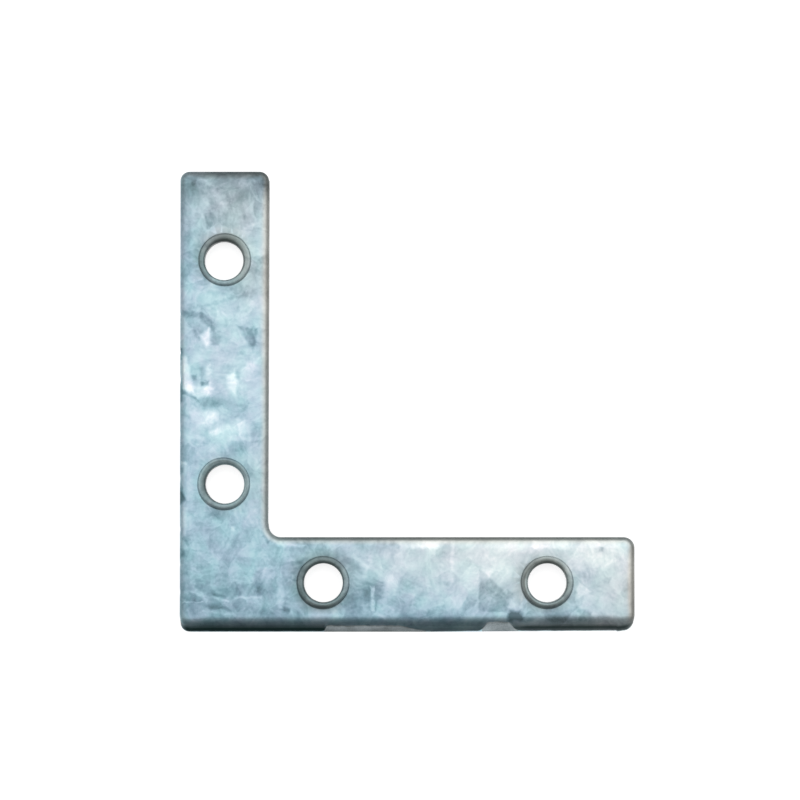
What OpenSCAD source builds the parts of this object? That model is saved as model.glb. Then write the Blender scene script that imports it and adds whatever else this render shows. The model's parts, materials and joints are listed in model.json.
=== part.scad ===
// Flat corner brace: one L-shaped steel plate with two screw holes in each leg.
// It lies on its back. The two lines of holes cross at the origin, on the back face.
// The upright leg runs along +Y, the foot along +X, and the visible face looks up.

/* [Plate] */
// Thickness of the steel sheet
sheet_t = 2.5; // [2.2:0.1:4]
// Width of each leg
leg_w = 14.7; // [13:0.1:22]
// How much further the upright reaches than the foot
upright_extra = 0.1; // [0:0.05:0.5]
// Radius of the outer corners, seen from above
corner_r = 1.9; // [1.9:0.1:4]
// Radius of the inside corner, between the legs
inside_r = 2; // [0.6:0.1:6]

/* [Screw holes] */
// From the crossing of the two hole lines to the first hole of each leg
first_hole = 16.3; // [13:0.1:30]
// Between the two holes of a leg
hole_pitch = 37; // [16:0.5:80]
// From the outer hole of a leg to the end of that leg, before the blank is moved off the holes
end_margin = 14.55; // [8:0.05:30]
// How far the middle of the upright lies to the left of its line of holes
upright_off = 0.1; // [0:0.05:0.5]
// How far the middle of the foot lies above its line of holes
foot_off = 0.2; // [0:0.05:0.5]
// Diameter of the holes
hole_d = 6.4; // [3.5:0.1:7]
// Radius that the hole's mouth turns in with, on the visible face
mouth_r = 0.6; // [0.3:0.05:0.7]
// Height of the raised lip round each hole, above the visible face
lip_h = 0.35; // [0.1:0.05:0.5]
// Radius of the lip's outer slope
lip_r = 0.8; // [0.6:0.05:1.2]
// Radius of the hole's edge on the back
back_r = 0.4; // [0.1:0.05:0.6]

/* [Blanked edges] */
// Width of the face that the blanking rolled over, all round the plate
roll_w = 1.6; // [0.8:0.05:1.8]
// Radius of that rolled face
roll_r = 2.5; // [2:0.1:2.7]
// Small radius where the rolled face turns down into the cut wall
arris_r = 0.3; // [0.1:0.05:0.5]
// Height of the broken band at the foot of the wall
break_h = 0.6; // [0.2:0.1:0.7]
// How far the broken band falls back at the back face
break_in = 0.12; // [0.02:0.02:0.3]

/* [Lower edge] */
// Angle that the foot's lower wall leans out towards the back
lean_angle = 25; // [12:1:28]
// Radius of the two lower corners at the back face
lower_corner_r = 1.8; // [1:0.1:1.8]

/* [Hidden] */
$fn = 96;

// Distance past the cut, so that a cutting shape runs clear of what it cuts
clear = 1;
// Small angle that a round face keeps where it runs out into its neighbour
meet = 4;

// Outline of the blank, from the crossing of the legs' middles
half_w = leg_w / 2;
leg_end = first_hole + hole_pitch + end_margin;
hole_places = [
    [0, first_hole + hole_pitch],
    [0, first_hole],
    [first_hole, 0],
    [first_hole + hole_pitch, 0],
];

// Centres that the corners are rounded about
heel_low = corner_r - half_w;
leg_tip = leg_end - corner_r;
top_end = leg_end + upright_extra;
top_tip = leg_tip + upright_extra;
leg_side = half_w - corner_r;
fillet_at = half_w + inside_r;

// Edge section: centre of the rolled arc, then of the arris inside it
roll_at = [roll_w + roll_r * sin(meet), sheet_t - roll_r * cos(meet)];
arris_gap = sqrt(pow(roll_r, 2) + pow(arris_r, 2) - 2 * roll_r * arris_r * cos(meet));
arris_x = arris_r * cos(meet);
arris_at = [arris_x, roll_at[1] + sqrt(pow(arris_gap, 2) - pow(roll_at[0] - arris_x, 2))];
// The line through both centres parts the arris from the rolled arc
parting = (arris_at - roll_at) / arris_gap;

// Lower edge section: the rolled arc goes on until it runs out into the leaning wall
lean_reach = roll_r * cos(meet);
lean_top = roll_at[1] + lean_reach * sin(lean_angle);
function lean_x(z) = roll_at[0] - (lean_reach - (z - roll_at[1]) * sin(lean_angle)) / cos(lean_angle);
lean_out = -lean_x(0);

// Hole section, outwards from the hole's axis
hole_r = hole_d / 2;
crest_r = hole_r + mouth_r;
crest_z = sheet_t + lip_h;
lip_foot_r = crest_r + sqrt(pow(lip_r, 2) - pow(lip_r - lip_h, 2));

// What the arris and the broken band take off the cut wall, which stands at x = 0
module wall_waste() {
    difference() {
        polygon([
            arris_at,
            arris_at + (arris_r + clear) * parting,
            [-clear, sheet_t + clear],
            [-clear, arris_at[1]],
        ]);
        translate(arris_at) circle(arris_r);
    }
    polygon([[-clear, -clear], [break_in, -clear], [break_in, 0], [0, break_h], [-clear, break_h]]);
}

// What the blanking leaves of a plain square edge, from the wall inwards
module edge_section() {
    difference() {
        square([corner_r, sheet_t]);
        difference() {
            translate([-clear, arris_at[1]])
                square([clear + roll_at[0], clear + sheet_t - arris_at[1]]);
            translate(roll_at) circle(roll_r);
        }
        wall_waste();
    }
}

// Wall of a side edge alone, deep enough to cut a lower corner to
module side_wall_section() {
    difference() {
        square([2 * corner_r, sheet_t]);
        wall_waste();
    }
}

// The foot's lower edge, which rolls on past x = 0 to a wall that leans out
module leaning_section() {
    intersection() {
        difference() {
            union() {
                translate(roll_at) circle(roll_r);
                translate([-lean_out - clear, -clear])
                    square([lean_out + clear + roll_at[0], clear + lean_top]);
                translate([roll_at[0], -clear]) square([corner_r + clear, sheet_t + 2 * clear]);
            }
            polygon([
                [lean_x(sheet_t), sheet_t],
                [lean_x(-2 * clear), -2 * clear],
                [-lean_out - 2 * clear, -2 * clear],
                [-lean_out - 2 * clear, sheet_t],
            ]);
        }
        translate([-lean_out - clear, 0]) square([lean_out + clear + corner_r, sheet_t]);
    }
}

// Stretch of straight edge along +Y, with its wall on the YZ plane
module straight_edge(length) {
    translate([0, length, 0]) rotate([90, 0, 0]) linear_extrude(length) edge_section();
}

module leaning_edge(length) {
    translate([0, length, 0]) rotate([90, 0, 0]) linear_extrude(length) leaning_section();
}

// Quarter turn of an edge section about the centre of an outer corner
module outer_corner() {
    rotate_extrude(angle = 90) translate([corner_r, 0]) mirror([1, 0]) edge_section();
}

// Quarter turn of the edge section about the centre of the inside corner
module inside_corner() {
    rotate([0, 0, 180]) rotate_extrude(angle = 90) translate([inside_r, 0]) edge_section();
}

// Outline of a lower corner at the back face, about the centre of the corner above it
module back_corner_outline() {
    wide = 2 * corner_r + lean_out;
    translate([
        lower_corner_r * cos(meet) - corner_r,
        lower_corner_r - corner_r - lean_out,
    ]) {
        circle(lower_corner_r);
        translate([-wide, 0]) square(2 * wide);
        translate([0, -wide]) square(2 * wide);
    }
}

// Left lower corner: the leaning edge turned round it, cut to the side wall's line
module lower_corner() {
    reach = corner_r + lean_out + clear;
    intersection() {
        rotate([0, 0, 180]) rotate_extrude(angle = 90)
            translate([corner_r, 0]) mirror([1, 0]) leaning_section();
        translate([-corner_r, clear, 0]) rotate([90, 0, 0])
            linear_extrude(reach + clear) side_wall_section();
        translate([0, 0, -clear]) linear_extrude(sheet_t + 2 * clear) back_corner_outline();
    }
}

// Flat middle of the plate, inside the edge sections
module core_outline() {
    translate([heel_low, heel_low]) square([leg_w - 2 * corner_r, top_tip - heel_low]);
    translate([heel_low, heel_low]) square([leg_tip - heel_low, leg_w - 2 * corner_r]);
    difference() {
        translate([heel_low, heel_low]) square(fillet_at - heel_low);
        translate([fillet_at, fillet_at]) circle(inside_r + corner_r);
    }
}

// Section of the metal round a hole, with its rounded mouth, raised lip and back edge
module hole_section() {
    difference() {
        union() {
            translate([hole_r, 0]) square([lip_foot_r - hole_r, sheet_t]);
            translate([hole_r, 0]) square([mouth_r, crest_z]);
            intersection() {
                translate([crest_r, crest_z - lip_r]) circle(lip_r);
                translate([crest_r, sheet_t]) square([lip_foot_r - crest_r, lip_h]);
            }
        }
        difference() {
            translate([hole_r - clear, crest_z - mouth_r]) square([mouth_r + clear, mouth_r + clear]);
            translate([crest_r, crest_z - mouth_r]) circle(mouth_r);
        }
        difference() {
            translate([hole_r - clear, -clear]) square([back_r + clear, back_r + clear]);
            translate([hole_r + back_r, back_r]) circle(back_r);
        }
    }
}

module plate_blank() {
    upright_run = top_tip - fillet_at;
    foot_run = leg_tip - fillet_at;
    end_run = leg_w - 2 * corner_r;

    linear_extrude(sheet_t) core_outline();

    // upright: left side, end, right side
    translate([-half_w, heel_low, 0]) straight_edge(top_tip - heel_low);
    translate([heel_low, top_tip, 0]) rotate([0, 0, 90]) outer_corner();
    translate([heel_low, top_end, 0]) rotate([0, 0, -90]) straight_edge(end_run);
    translate([leg_side, top_tip, 0]) outer_corner();
    translate([half_w, top_tip, 0]) rotate([0, 0, 180]) straight_edge(upright_run);

    translate([fillet_at, fillet_at, 0]) inside_corner();

    // foot: upper side, end, lower side
    translate([fillet_at, half_w, 0]) rotate([0, 0, -90]) straight_edge(foot_run);
    translate([leg_tip, leg_side, 0]) outer_corner();
    translate([leg_end, leg_side, 0]) rotate([0, 0, 180]) straight_edge(end_run);
    translate([leg_tip, -half_w, 0]) rotate([0, 0, 90]) leaning_edge(leg_tip - heel_low);
    translate([heel_low, heel_low, 0]) lower_corner();
    translate([leg_tip, heel_low, 0]) mirror([1, 0, 0]) lower_corner();
}

module corner_plate() {
    color("#b9cdd5") union() {
        difference() {
            translate([-upright_off, foot_off, 0]) plate_blank();
            for (place = hole_places)
                translate([place[0], place[1], -clear]) cylinder(h = sheet_t + 2 * clear, r = lip_foot_r);
        }
        for (place = hole_places)
            translate([place[0], place[1], 0]) rotate_extrude() hole_section();
    }
}

corner_plate();
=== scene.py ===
# %% [markdown]
# # A flat corner brace
# The object is one L-shaped steel plate with four screw holes. It is blanked out of galvanised
# sheet with a punch and a die. That one blow gives it everything there is to see: a face that
# rolls over at its edges, a dark cut wall, and a torn band where the steel broke at last.
# The imported model is loaded first, because the plate's box, the holes and the lip's height below
# are taken from it.

# %% Load the frame
import json
import math

import bmesh
import bpy
import numpy as np
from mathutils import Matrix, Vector, noise
from mathutils.geometry import delaunay_2d_cdt


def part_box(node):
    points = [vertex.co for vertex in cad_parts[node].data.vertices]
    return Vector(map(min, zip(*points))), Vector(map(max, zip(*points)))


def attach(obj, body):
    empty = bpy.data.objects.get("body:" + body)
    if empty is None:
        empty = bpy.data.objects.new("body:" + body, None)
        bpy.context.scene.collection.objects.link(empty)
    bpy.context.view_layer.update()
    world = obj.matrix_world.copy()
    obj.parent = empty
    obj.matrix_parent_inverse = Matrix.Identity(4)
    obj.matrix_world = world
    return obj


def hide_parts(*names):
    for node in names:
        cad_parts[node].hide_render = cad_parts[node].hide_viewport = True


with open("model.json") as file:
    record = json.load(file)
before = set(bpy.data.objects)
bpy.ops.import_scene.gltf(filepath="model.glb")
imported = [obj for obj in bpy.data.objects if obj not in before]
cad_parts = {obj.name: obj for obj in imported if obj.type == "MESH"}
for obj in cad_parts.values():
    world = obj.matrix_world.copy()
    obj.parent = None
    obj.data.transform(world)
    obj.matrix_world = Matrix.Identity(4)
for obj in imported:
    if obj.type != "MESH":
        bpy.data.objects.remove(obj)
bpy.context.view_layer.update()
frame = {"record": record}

MM = 0.001
plate_low, plate_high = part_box("corner_plate")
holes = {}
for mount in frame["record"]["mounts"]:
    if mount["kind"] == "bore":
        holes[mount["name"]] = (mount["pos_m"][0] / MM, mount["pos_m"][1] / MM)
hole_r = frame["record"]["mounts"][1]["dims"]["r_mm"]
print("holes in mm:", holes, "radius", hole_r)

# %% [markdown]
# ## The sizes of the plate
# Millimetres read more easily than metres here, so all the shaping is done in millimetres and
# the mesh is scaled once, at the end. The outline comes from the solid's own box. The blank was
# laid a little off the holes by the press, so its own middle is worked out first, and all of the
# outline is drawn about that. The upright reaches a hair further than the foot. The foot's lower
# wall leans out past the leg's width, and what is left of the box says by how much.

# %% Sizes from the frame
leg_w = 14.7
half_w = leg_w / 2
blank_x = plate_low.x / MM + half_w
leg_end = plate_high.x / MM - blank_x
upright_extra = 0.1
top_end = leg_end + upright_extra
blank_y = plate_high.y / MM - top_end
lean_out = blank_y - half_w - plate_low.y / MM

sheet_t = 2.5
inside_r = 2.0
# Radius of the rolled face, and how far in from the wall it starts
roll_r = 2.5
roll_reach = 1.774
arris_r = 0.3
# How far the torn band falls back at the back face
break_in = 0.12
lean_angle = math.radians(25)
fillet_at = half_w + inside_r
print(f"blank off the holes by {blank_x:.2f}, {blank_y:.2f} mm; a leg ends at {leg_end:.2f} mm")
print(f"lower edge leans out {lean_out:.3f} mm")

# %% [markdown]
# ## Walking round the outline
# A blanked edge is the same section all the way round, so the plate can be swept: a chain of
# stations walks round the outline, and each one knows where it stands, which way the metal lies
# and how far its section has turned into the leaning one. A modifier with a bevel would give one
# smooth, even edge. Stations let every millimetre of edge be a little different, as steel is.
# No two corners wore the die alike, so each has its own radius. Each side also gets two numbers for
# its painted shade: how dark the zinc is painted over a strip beside the edge, and at the arris
# alone.

# %% Stations
STEP = 0.4
CORNER_STEPS = 12
# Radius of each corner: at the face, and for the lower two also at the back
FOOT_LOW, FOOT_LOW_BACK = 1.9, 1.85
FOOT_HIGH = 1.8
UPRIGHT_RIGHT, UPRIGHT_LEFT = 1.6, 1.55
HEEL, HEEL_BACK = 1.8, 1.6
stations = []


def lean_reach(angle, radius, back_radius):
    """Share of the full lean that fits inside a lower corner, in the direction angle."""
    away = np.array([abs(math.cos(angle)), math.sin(angle)])
    offset = np.array([radius - back_radius, back_radius - radius - lean_out])
    along = float(away @ offset)
    reach = along + math.sqrt(along ** 2 - offset @ offset + back_radius ** 2)
    return min(max((reach - radius) / lean_out, 0.0), 1.0)


def straight(start, end, inward, lean=0, strip=0.0, arris=0.0):
    """Stations along a straight side, whose metal lies inward of it."""
    start, end = np.array(start, float), np.array(end, float)
    length = np.linalg.norm(end - start)
    count = int(length / STEP)
    for k in range(1, count):
        place = start + (end - start) * k / count
        stations.append((*place, *inward, lean, strip, arris, math.inf))


def turn(centre, radius, first, last, strip, arris, hollow=False, back_radius=None):
    """Stations round a corner, from one angle to another; a hollow one is an inside corner."""
    for k in range(CORNER_STEPS + 1):
        angle = math.radians(first + (last - first) * k / CORNER_STEPS)
        out = (math.cos(angle), math.sin(angle))
        place = (centre[0] + radius * out[0], centre[1] + radius * out[1])
        inward = out if hollow else (-out[0], -out[1])
        lean = lean_reach(angle, radius, back_radius) if back_radius else 0.0
        stations.append((*place, *inward, lean, strip, arris, math.inf if hollow else radius))


straight((HEEL - half_w, -half_w), (leg_end - FOOT_LOW, -half_w), (0, 1), lean=1)
turn((leg_end - FOOT_LOW, FOOT_LOW - half_w), FOOT_LOW, -90, 0,
     strip=0.20, arris=0.40, back_radius=FOOT_LOW_BACK)
straight((leg_end, FOOT_LOW - half_w), (leg_end, half_w - FOOT_HIGH), (-1, 0),
         strip=0.06, arris=0.30)
turn((leg_end - FOOT_HIGH, half_w - FOOT_HIGH), FOOT_HIGH, 0, 90, strip=0.06, arris=0.46)
straight((leg_end - FOOT_HIGH, half_w), (fillet_at, half_w), (0, -1), strip=0.08, arris=0.56)
turn((fillet_at, fillet_at), inside_r, 270, 180, strip=0.0, arris=0.40, hollow=True)
straight((half_w, fillet_at), (half_w, top_end - UPRIGHT_RIGHT), (-1, 0),
         strip=0.02, arris=0.36)
turn((half_w - UPRIGHT_RIGHT, top_end - UPRIGHT_RIGHT), UPRIGHT_RIGHT, 0, 90,
     strip=0.40, arris=0.30)
straight((half_w - UPRIGHT_RIGHT, top_end), (UPRIGHT_LEFT - half_w, top_end), (0, -1),
         strip=0.56, arris=0.10)
turn((UPRIGHT_LEFT - half_w, top_end - UPRIGHT_LEFT), UPRIGHT_LEFT, 90, 180,
     strip=0.30, arris=0.10)
straight((-half_w, top_end - UPRIGHT_LEFT), (-half_w, HEEL - half_w), (1, 0))
turn((HEEL - half_w, HEEL - half_w), HEEL, 180, 270,
     strip=0.10, arris=0.10, back_radius=HEEL_BACK)

stations = np.array(stations)
# The upright's right side leans out: a hair narrower at the inside corner than at its end
TAPER, TAPER_END = 0.07, 60
right_side = (np.abs(stations[:, 0] - half_w) < 0.01) & (stations[:, 1] > fillet_at)
stations[right_side, 0] += np.interp(stations[right_side, 1], (fillet_at, TAPER_END),
                                     (-TAPER, TAPER))
stations[:, :2] += (blank_x, blank_y)
steps = np.linalg.norm(np.roll(stations[:, :2], -1, 0) - stations[:, :2], axis=1)
travel = np.concatenate([[0], np.cumsum(steps)[:-1]])
# Stations on each side that a change of painted shade is spread over
SOFTEN = 9
around = np.concatenate([stations[-SOFTEN:], stations, stations[:SOFTEN]])
blur = np.ones(2 * SOFTEN + 1) / (2 * SOFTEN + 1)
strip_dark = np.convolve(around[:, 5], blur, "valid")
arris_dark = np.convolve(around[:, 6], blur, "valid")
# Where a corner is tighter than the roll is wide, the roll is drawn in to fill this share of
# the corner's radius, and eases out beside it over this many millimetres
CORNER_SHARE, EASE = 0.96, 3.0
# Width of one more row on the flat, which keeps the shading of a curve out of the face
FLAT_ROW = 0.12
whole = float(steps.sum())
fits = np.minimum(CORNER_SHARE * stations[:, 7] / (roll_reach + FLAT_ROW), 1.0)
roll_scale = np.ones(len(stations))
for at, fit in zip(travel[fits < 1], fits[fits < 1]):
    away = np.abs(travel - at)
    away = np.clip(np.minimum(away, whole - away) / EASE, 0, 1)
    roll_scale = np.minimum(roll_scale, fit + (1 - fit) * away * away * (3 - 2 * away))
print(len(stations), "stations over", round(whole, 1), "mm of edge")

# %% [markdown]
# ## The section of a blanked edge
# The section goes from the flat face outwards and down. First the face rolls over in an arc,
# because the sheet is pulled down before it is cut. A small arris follows, then the burnished
# wall that the die rubbed smooth, and last the torn band. On the foot's lower side the arc runs
# on into a wall that leans out. Both sections are cut into the same number of points, zone by
# zone, so that a corner can blend from one to the other.

# %% Two sections
ROLL_STEPS, ARRIS_STEPS, WALL_STEPS, TORN_STEPS = 12, 4, 3, 4
ROLL_END = ROLL_STEPS
ARRIS_END = ROLL_END + ARRIS_STEPS
WALL_END = ARRIS_END + WALL_STEPS
SECTION_POINTS = WALL_END + TORN_STEPS + 1
# Shares of the leaning section's arc where the rows of the roll end, and those of the arris
ROLL_SHARE, ARRIS_SHARE = 0.62, 0.86


def arc(centre_u, centre_z, radius, first, last, count):
    """Points of a round stretch; the angle is 0 where the surface is level."""
    angle = np.linspace(first, last, count + 1)
    return np.column_stack([centre_u - radius * np.sin(angle), centre_z + radius * np.cos(angle)])


def line(start, end, count):
    return np.linspace(start, end, count + 1)


def square_section(break_z):
    roll_end = math.asin((roll_reach - arris_r) / (roll_r - arris_r))
    arris_z = sheet_t - roll_r + (roll_r - arris_r) * math.cos(roll_end)
    return np.vstack([
        arc(roll_reach, sheet_t - roll_r, roll_r, 0, roll_end, ROLL_STEPS),
        arc(arris_r, arris_z, arris_r, roll_end, math.pi / 2, ARRIS_STEPS)[1:],
        line((0, arris_z), (0, break_z), WALL_STEPS)[1:],
        line((0, break_z), (break_in, 0), TORN_STEPS)[1:],
    ])


def leaning_section(break_z, foot):
    """Section of the foot's lower edge; foot is where it meets the back, below zero."""
    turned = math.pi / 2 - lean_angle
    centre_z = sheet_t - roll_r
    foot_of_arc = centre_z + roll_r * math.cos(turned)
    centre_u = foot + roll_r * math.sin(turned) + foot_of_arc * math.tan(lean_angle)
    dense = np.vstack([
        arc(centre_u, centre_z, roll_r, 0, turned, 200),
        line((centre_u - roll_r * math.sin(turned), foot_of_arc), (foot, 0), 60)[1:],
    ])
    # The rows above the break are spread over the arc; the torn band runs straight to the back
    broken = int(np.argmin(np.abs(dense[:, 1] - break_z)))
    share = np.concatenate([
        np.linspace(0, ROLL_SHARE, ROLL_STEPS + 1),
        np.linspace(ROLL_SHARE, ARRIS_SHARE, ARRIS_STEPS + 1)[1:],
        np.linspace(ARRIS_SHARE, 1, WALL_STEPS + 1)[1:],
    ])
    upper = np.column_stack([
        np.interp(share * broken, np.arange(len(dense)), dense[:, 0]),
        np.interp(share * broken, np.arange(len(dense)), dense[:, 1]),
    ])
    return np.vstack([upper, line(dense[broken], (foot, 0), TORN_STEPS)[1:]])


print("square wall from z", round(float(square_section(0.6)[ARRIS_END, 1]), 2), "mm,",
      "leaning foot at", round(float(leaning_section(0.3, -lean_out)[-1, 0]), 3), "mm")

# %% [markdown]
# ## What differs from place to place
# The break never runs straight. Along the foot's lower edge it climbs twice: once in a long low
# strip, and once in a short spall that reaches almost to the face. The left edge has a few small
# nicks from the bin, and a tiny burr hangs near the foot's end. Slow noise does the rest.

# %% Breaks, nicks and the burr
# (first x, last x, height of the break) along the lower edge, then how far each end is drawn out
TORN_STRETCHES = [(16.6, 31.4, 1.84, 0.6, 5.6), (42.7, 47.9, 2.2, 1.7, 1.9)]
# (y, depth, half length) down the left edge
NICKS = [(38.1, 0.16, 0.35), (33.6, 0.20, 0.55), (44.4, 0.10, 0.3), (24.6, 0.12, 0.3),
         (17.2, 0.10, 0.5), (8.8, 0.14, 0.4), (3.1, 0.10, 0.3), (-1.5, 0.12, 0.4)]
# A nick starts at this row, low on the roll, and deepens down to the back
NICK_ROW = ROLL_END - 3
# (x, half length): here the lower edge hangs out as far as the solid's does
BURR = (65.2, 0.3)
# Mean height of the break along the lower edge, and along every other
LOW_BREAK, PLAIN_BREAK = 0.22, 0.62
# (first x, last x, how far): towards the foot's end its lower edge is drawn in
DRAWN_IN = (34, 66, 0.17)
TORN_GRIT, WALL_GRIT = 0.05, 0.012
# Share by which the roll's width wanders
ROLL_WANDER = 0.04


def wave(*place):
    return noise.noise(Vector(place))


def swell(value, first, last, soft, soft_last=None):
    """Rises from 0 to 1 and falls back, with ends as long as soft and soft_last."""
    rise = (value - first) / soft + 0.5
    fall = (last - value) / (soft_last or soft) + 0.5
    inside = min(max(min(rise, fall), 0.0), 1.0)
    return inside * inside * (3 - 2 * inside)


def torn_share(x):
    """How fully the lower edge is torn open at x: 0 where it is whole, 1 in a stretch."""
    return max(swell(x, first, last, soft, soft_last)
               for first, last, _, soft, soft_last in TORN_STRETCHES)


def break_height(x, s, lean):
    """Height of the break, s millimetres round the outline: long waves and short ones."""
    low = LOW_BREAK + 0.08 * wave(s * 0.45, 3.1, 0) + 0.05 * wave(s * 1.7, 8.3, 0)
    plain = PLAIN_BREAK + 0.16 * wave(s * 0.35, 1.7, 0) + 0.07 * wave(s * 1.9, 5.2, 0)
    height = low
    for first, last, top, soft, soft_last in TORN_STRETCHES:
        ragged = top + 0.10 * wave(s * 0.9, 7.7, top) + 0.05 * wave(s * 3.1, 2.4, top)
        height = max(height, low + (ragged - low) * swell(x, first, last, soft, soft_last))
    return plain + (height - plain) * lean


rings = []
for (x, y, nx, ny, lean, *_), s, narrow in zip(stations, travel, roll_scale):
    break_z = break_height(x, s, lean)
    drawn_in = min(max((x - DRAWN_IN[0]) / (DRAWN_IN[1] - DRAWN_IN[0]), 0), 1)
    foot = -lean_out + DRAWN_IN[2] * drawn_in
    foot -= (foot + lean_out) * math.exp(-((x - BURR[0]) / BURR[1]) ** 2)
    section = (1 - lean) * square_section(break_z) + lean * leaning_section(break_z, foot)
    edge_u = section[:, 0].min()
    wider = narrow * (1 + ROLL_WANDER * wave(s * 0.12, 9.1, 0))
    section[:, 0] = edge_u + (section[:, 0] - edge_u) * wider
    roughness = np.zeros(SECTION_POINTS)
    for row in range(ARRIS_END, SECTION_POINTS - 1):
        grit = TORN_GRIT if row >= WALL_END else WALL_GRIT
        roughness[row] = grit * (0.5 + wave(s * 1.6, row * 0.9, 4.4))
    section[:, 0] += np.maximum(roughness, 0)
    if nx > 0.99:
        for at, depth, half in NICKS:
            bite = depth * math.exp(-((y - at) / half) ** 2)
            section[NICK_ROW:, 0] += bite * np.linspace(0.2, 1, SECTION_POINTS - NICK_ROW)
    points = np.column_stack([x + nx * section[:, 0], y + ny * section[:, 0], section[:, 1]])
    rings.append(points)
rings = np.array(rings)
print("edge rows:", rings.shape, "lowest y", round(float(rings[:, :, 1].min()), 3), "mm")

# %% [markdown]
# ## The holes
# Each hole is punched from below, and the steel that the punch pushed ahead of it stands up
# round the mouth as a low lip. A hole is a turned section: back edge, torn band, burnished bore,
# rounded mouth, lip, and the small fillet at the lip's foot. The punch and the lip are never
# quite in line, so each lip is set a little aside and its height wanders as it goes round. The
# upright's outer hole was pierced a hair to the left, and its bore is moved with it.

# %% Hole sections
lip_top = plate_high.z / MM
mouth_r = 0.6
lip_h = lip_top - sheet_t
lip_r = 0.65
back_r = 0.4
foot_fillet = 0.1
# Height up to which the wall of a hole is torn
hole_break = 0.85
crest_r = hole_r + mouth_r
HOLE_STEPS = 96
# How far a lip dips where it is lowest, its mouth wanders and the torn bore is rough
LIP_DIP, MOUTH_WANDER, BORE_GRIT = 0.07, 0.06, 0.03
BORE_ASIDE = {"upright_outer_hole": (-0.18, 0.0)}
LIP_ASIDE = {
    "upright_outer_hole": (0.14, 0.16),
    "upright_inner_hole": (-0.16, 0.06),
    "foot_inner_hole": (-0.05, 0.04),
    "foot_outer_hole": (-0.04, 0.05),
}
# How much painted shade, with some real rubbing in it, the mouth, the crest and the slope get,
# towards +X, +Y, -X and -Y
LIP_SHADE_AND_WEAR = {
    "upright_outer_hole": (
        (0.36, 0.80, 0.40, 0.00), (0.42, 0.72, 0.54, 0.16), (0.05, 0.55, 0.48, 0.00)),
    "upright_inner_hole": (
        (0.05, 0.20, 0.68, 0.26), (0.48, 0.74, 0.48, 0.50), (0.00, 0.20, 0.00, 0.26)),
    "foot_inner_hole": (
        (0.17, 0.62, 0.42, 0.36), (0.22, 0.56, 0.56, 0.80), (0.02, 0.46, 0.48, 0.70)),
    "foot_outer_hole": (
        (0.35, 0.70, 0.00, 0.20), (0.34, 0.64, 0.74, 0.76), (0.04, 0.16, 0.46, 0.52)),
}
# How far rubbing wore the zinc through, and how far all of a lip has lost its blue
RUBBED_BARE, LIP_GREY = 0.5, 0.36

fillet_z = sheet_t + foot_fillet
fillet_lift = fillet_z - (lip_top - lip_r)
fillet_out = math.sqrt((lip_r + foot_fillet) ** 2 - fillet_lift ** 2)
lip_turn = math.atan2(fillet_out, fillet_lift)
lip_foot_r = crest_r + fillet_out

bore_rows = np.vstack([
    np.array([[hole_r + back_r * (1 - math.sin(a)), back_r * (1 - math.cos(a))]
              for a in np.linspace(0, math.pi / 2, 5)]),
    line((hole_r, back_r), (hole_r, hole_break), 3)[1:],
    line((hole_r, hole_break), (hole_r, lip_top - mouth_r), 4)[1:],
])
bore_rows[:, 0] = np.maximum(bore_rows[:, 0], hole_r)
mouth_rows = np.array([
    [crest_r - mouth_r * math.cos(a), lip_top - mouth_r + mouth_r * math.sin(a)]
    for a in np.linspace(0, math.pi / 2, 9)
])[1:]
lip_rows = np.array([
    [crest_r + lip_r * math.sin(a), lip_top - lip_r + lip_r * math.cos(a)]
    for a in np.linspace(0, lip_turn, 9)
])[1:]
fillet_rows = np.array([
    [lip_foot_r - foot_fillet * math.sin(a), fillet_z - foot_fillet * math.cos(a)]
    for a in np.linspace(lip_turn, 0, 5)
])[1:]
HOLE_BACK_END, HOLE_TORN_END = 4, 7
HOLE_BORE_END = len(bore_rows) - 1
hole_rows = np.vstack([bore_rows, mouth_rows, lip_rows, fillet_rows,
                       [[lip_foot_r + FLAT_ROW, sheet_t]]])


def hole_rings(name):
    cx, cy = np.array(holes[name]) + BORE_ASIDE.get(name, (0, 0))
    aside = LIP_ASIDE[name]
    seed = 3.7 * cx + 1.3 * cy
    out = []
    for k in range(HOLE_STEPS):
        angle = 2 * math.pi * k / HOLE_STEPS
        ux, uy = math.cos(angle), math.sin(angle)
        uneven = wave(ux * 0.9 + seed, uy * 0.9, 2.2)
        ring = []
        for row, (r, z) in enumerate(hole_rows):
            share = min(max((r - hole_r) / mouth_r, 0.0), 1.0) if row > HOLE_BORE_END else 0.0
            lift = max(z - sheet_t, 0.0) / lip_h
            z_here = z - LIP_DIP * lift * max(0.5 + uneven, 0) if lift > 0 else z
            r_here = r + share * MOUTH_WANDER * uneven
            if HOLE_BACK_END <= row <= HOLE_TORN_END:
                rough = wave(ux * 4 + seed, uy * 4, row * 0.8) + 0.4
                r_here += BORE_GRIT * max(rough, 0)
            ring.append((cx + aside[0] * share + r_here * ux,
                         cy + aside[1] * share + r_here * uy, z_here))
        out.append(ring)
    return np.array(out)


print("lip foot radius", round(lip_foot_r, 3), "mm,", len(hole_rows), "rows a hole")

# %% [markdown]
# ## Filling the two flats
# Between the edge rows and the holes the face is flat, and so is the back. A constrained
# triangulation fills such a region exactly: it gets every ring as a fence, and a net of loose
# points keeps its triangles even. The face is also given waves of a few hundredths of a
# millimetre, which is what a blow leaves in a sheet that was flat before.

# %% Fill a flat
# Spacing of the loose points, of their rows, and from a ring to the nearest of them
NET = 1.5
NET_ROWS = NET * 0.87
NET_GAP = NET * 0.5
# Height and length of the waves in the face
WAVE_HIGH, WAVE_LONG = 0.015, 9


def covers(ring, points):
    """True for each point inside a closed ring."""
    inside = np.zeros(len(points), bool)
    x, y = points[:, 0], points[:, 1]
    for (ax, ay), (bx, by) in zip(ring, np.roll(ring, -1, 0)):
        crossing = (ay > y) != (by > y)
        height = by - ay if by != ay else 1e-12
        inside ^= crossing & (x < (bx - ax) * (y - ay) / height + ax)
    return inside


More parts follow.
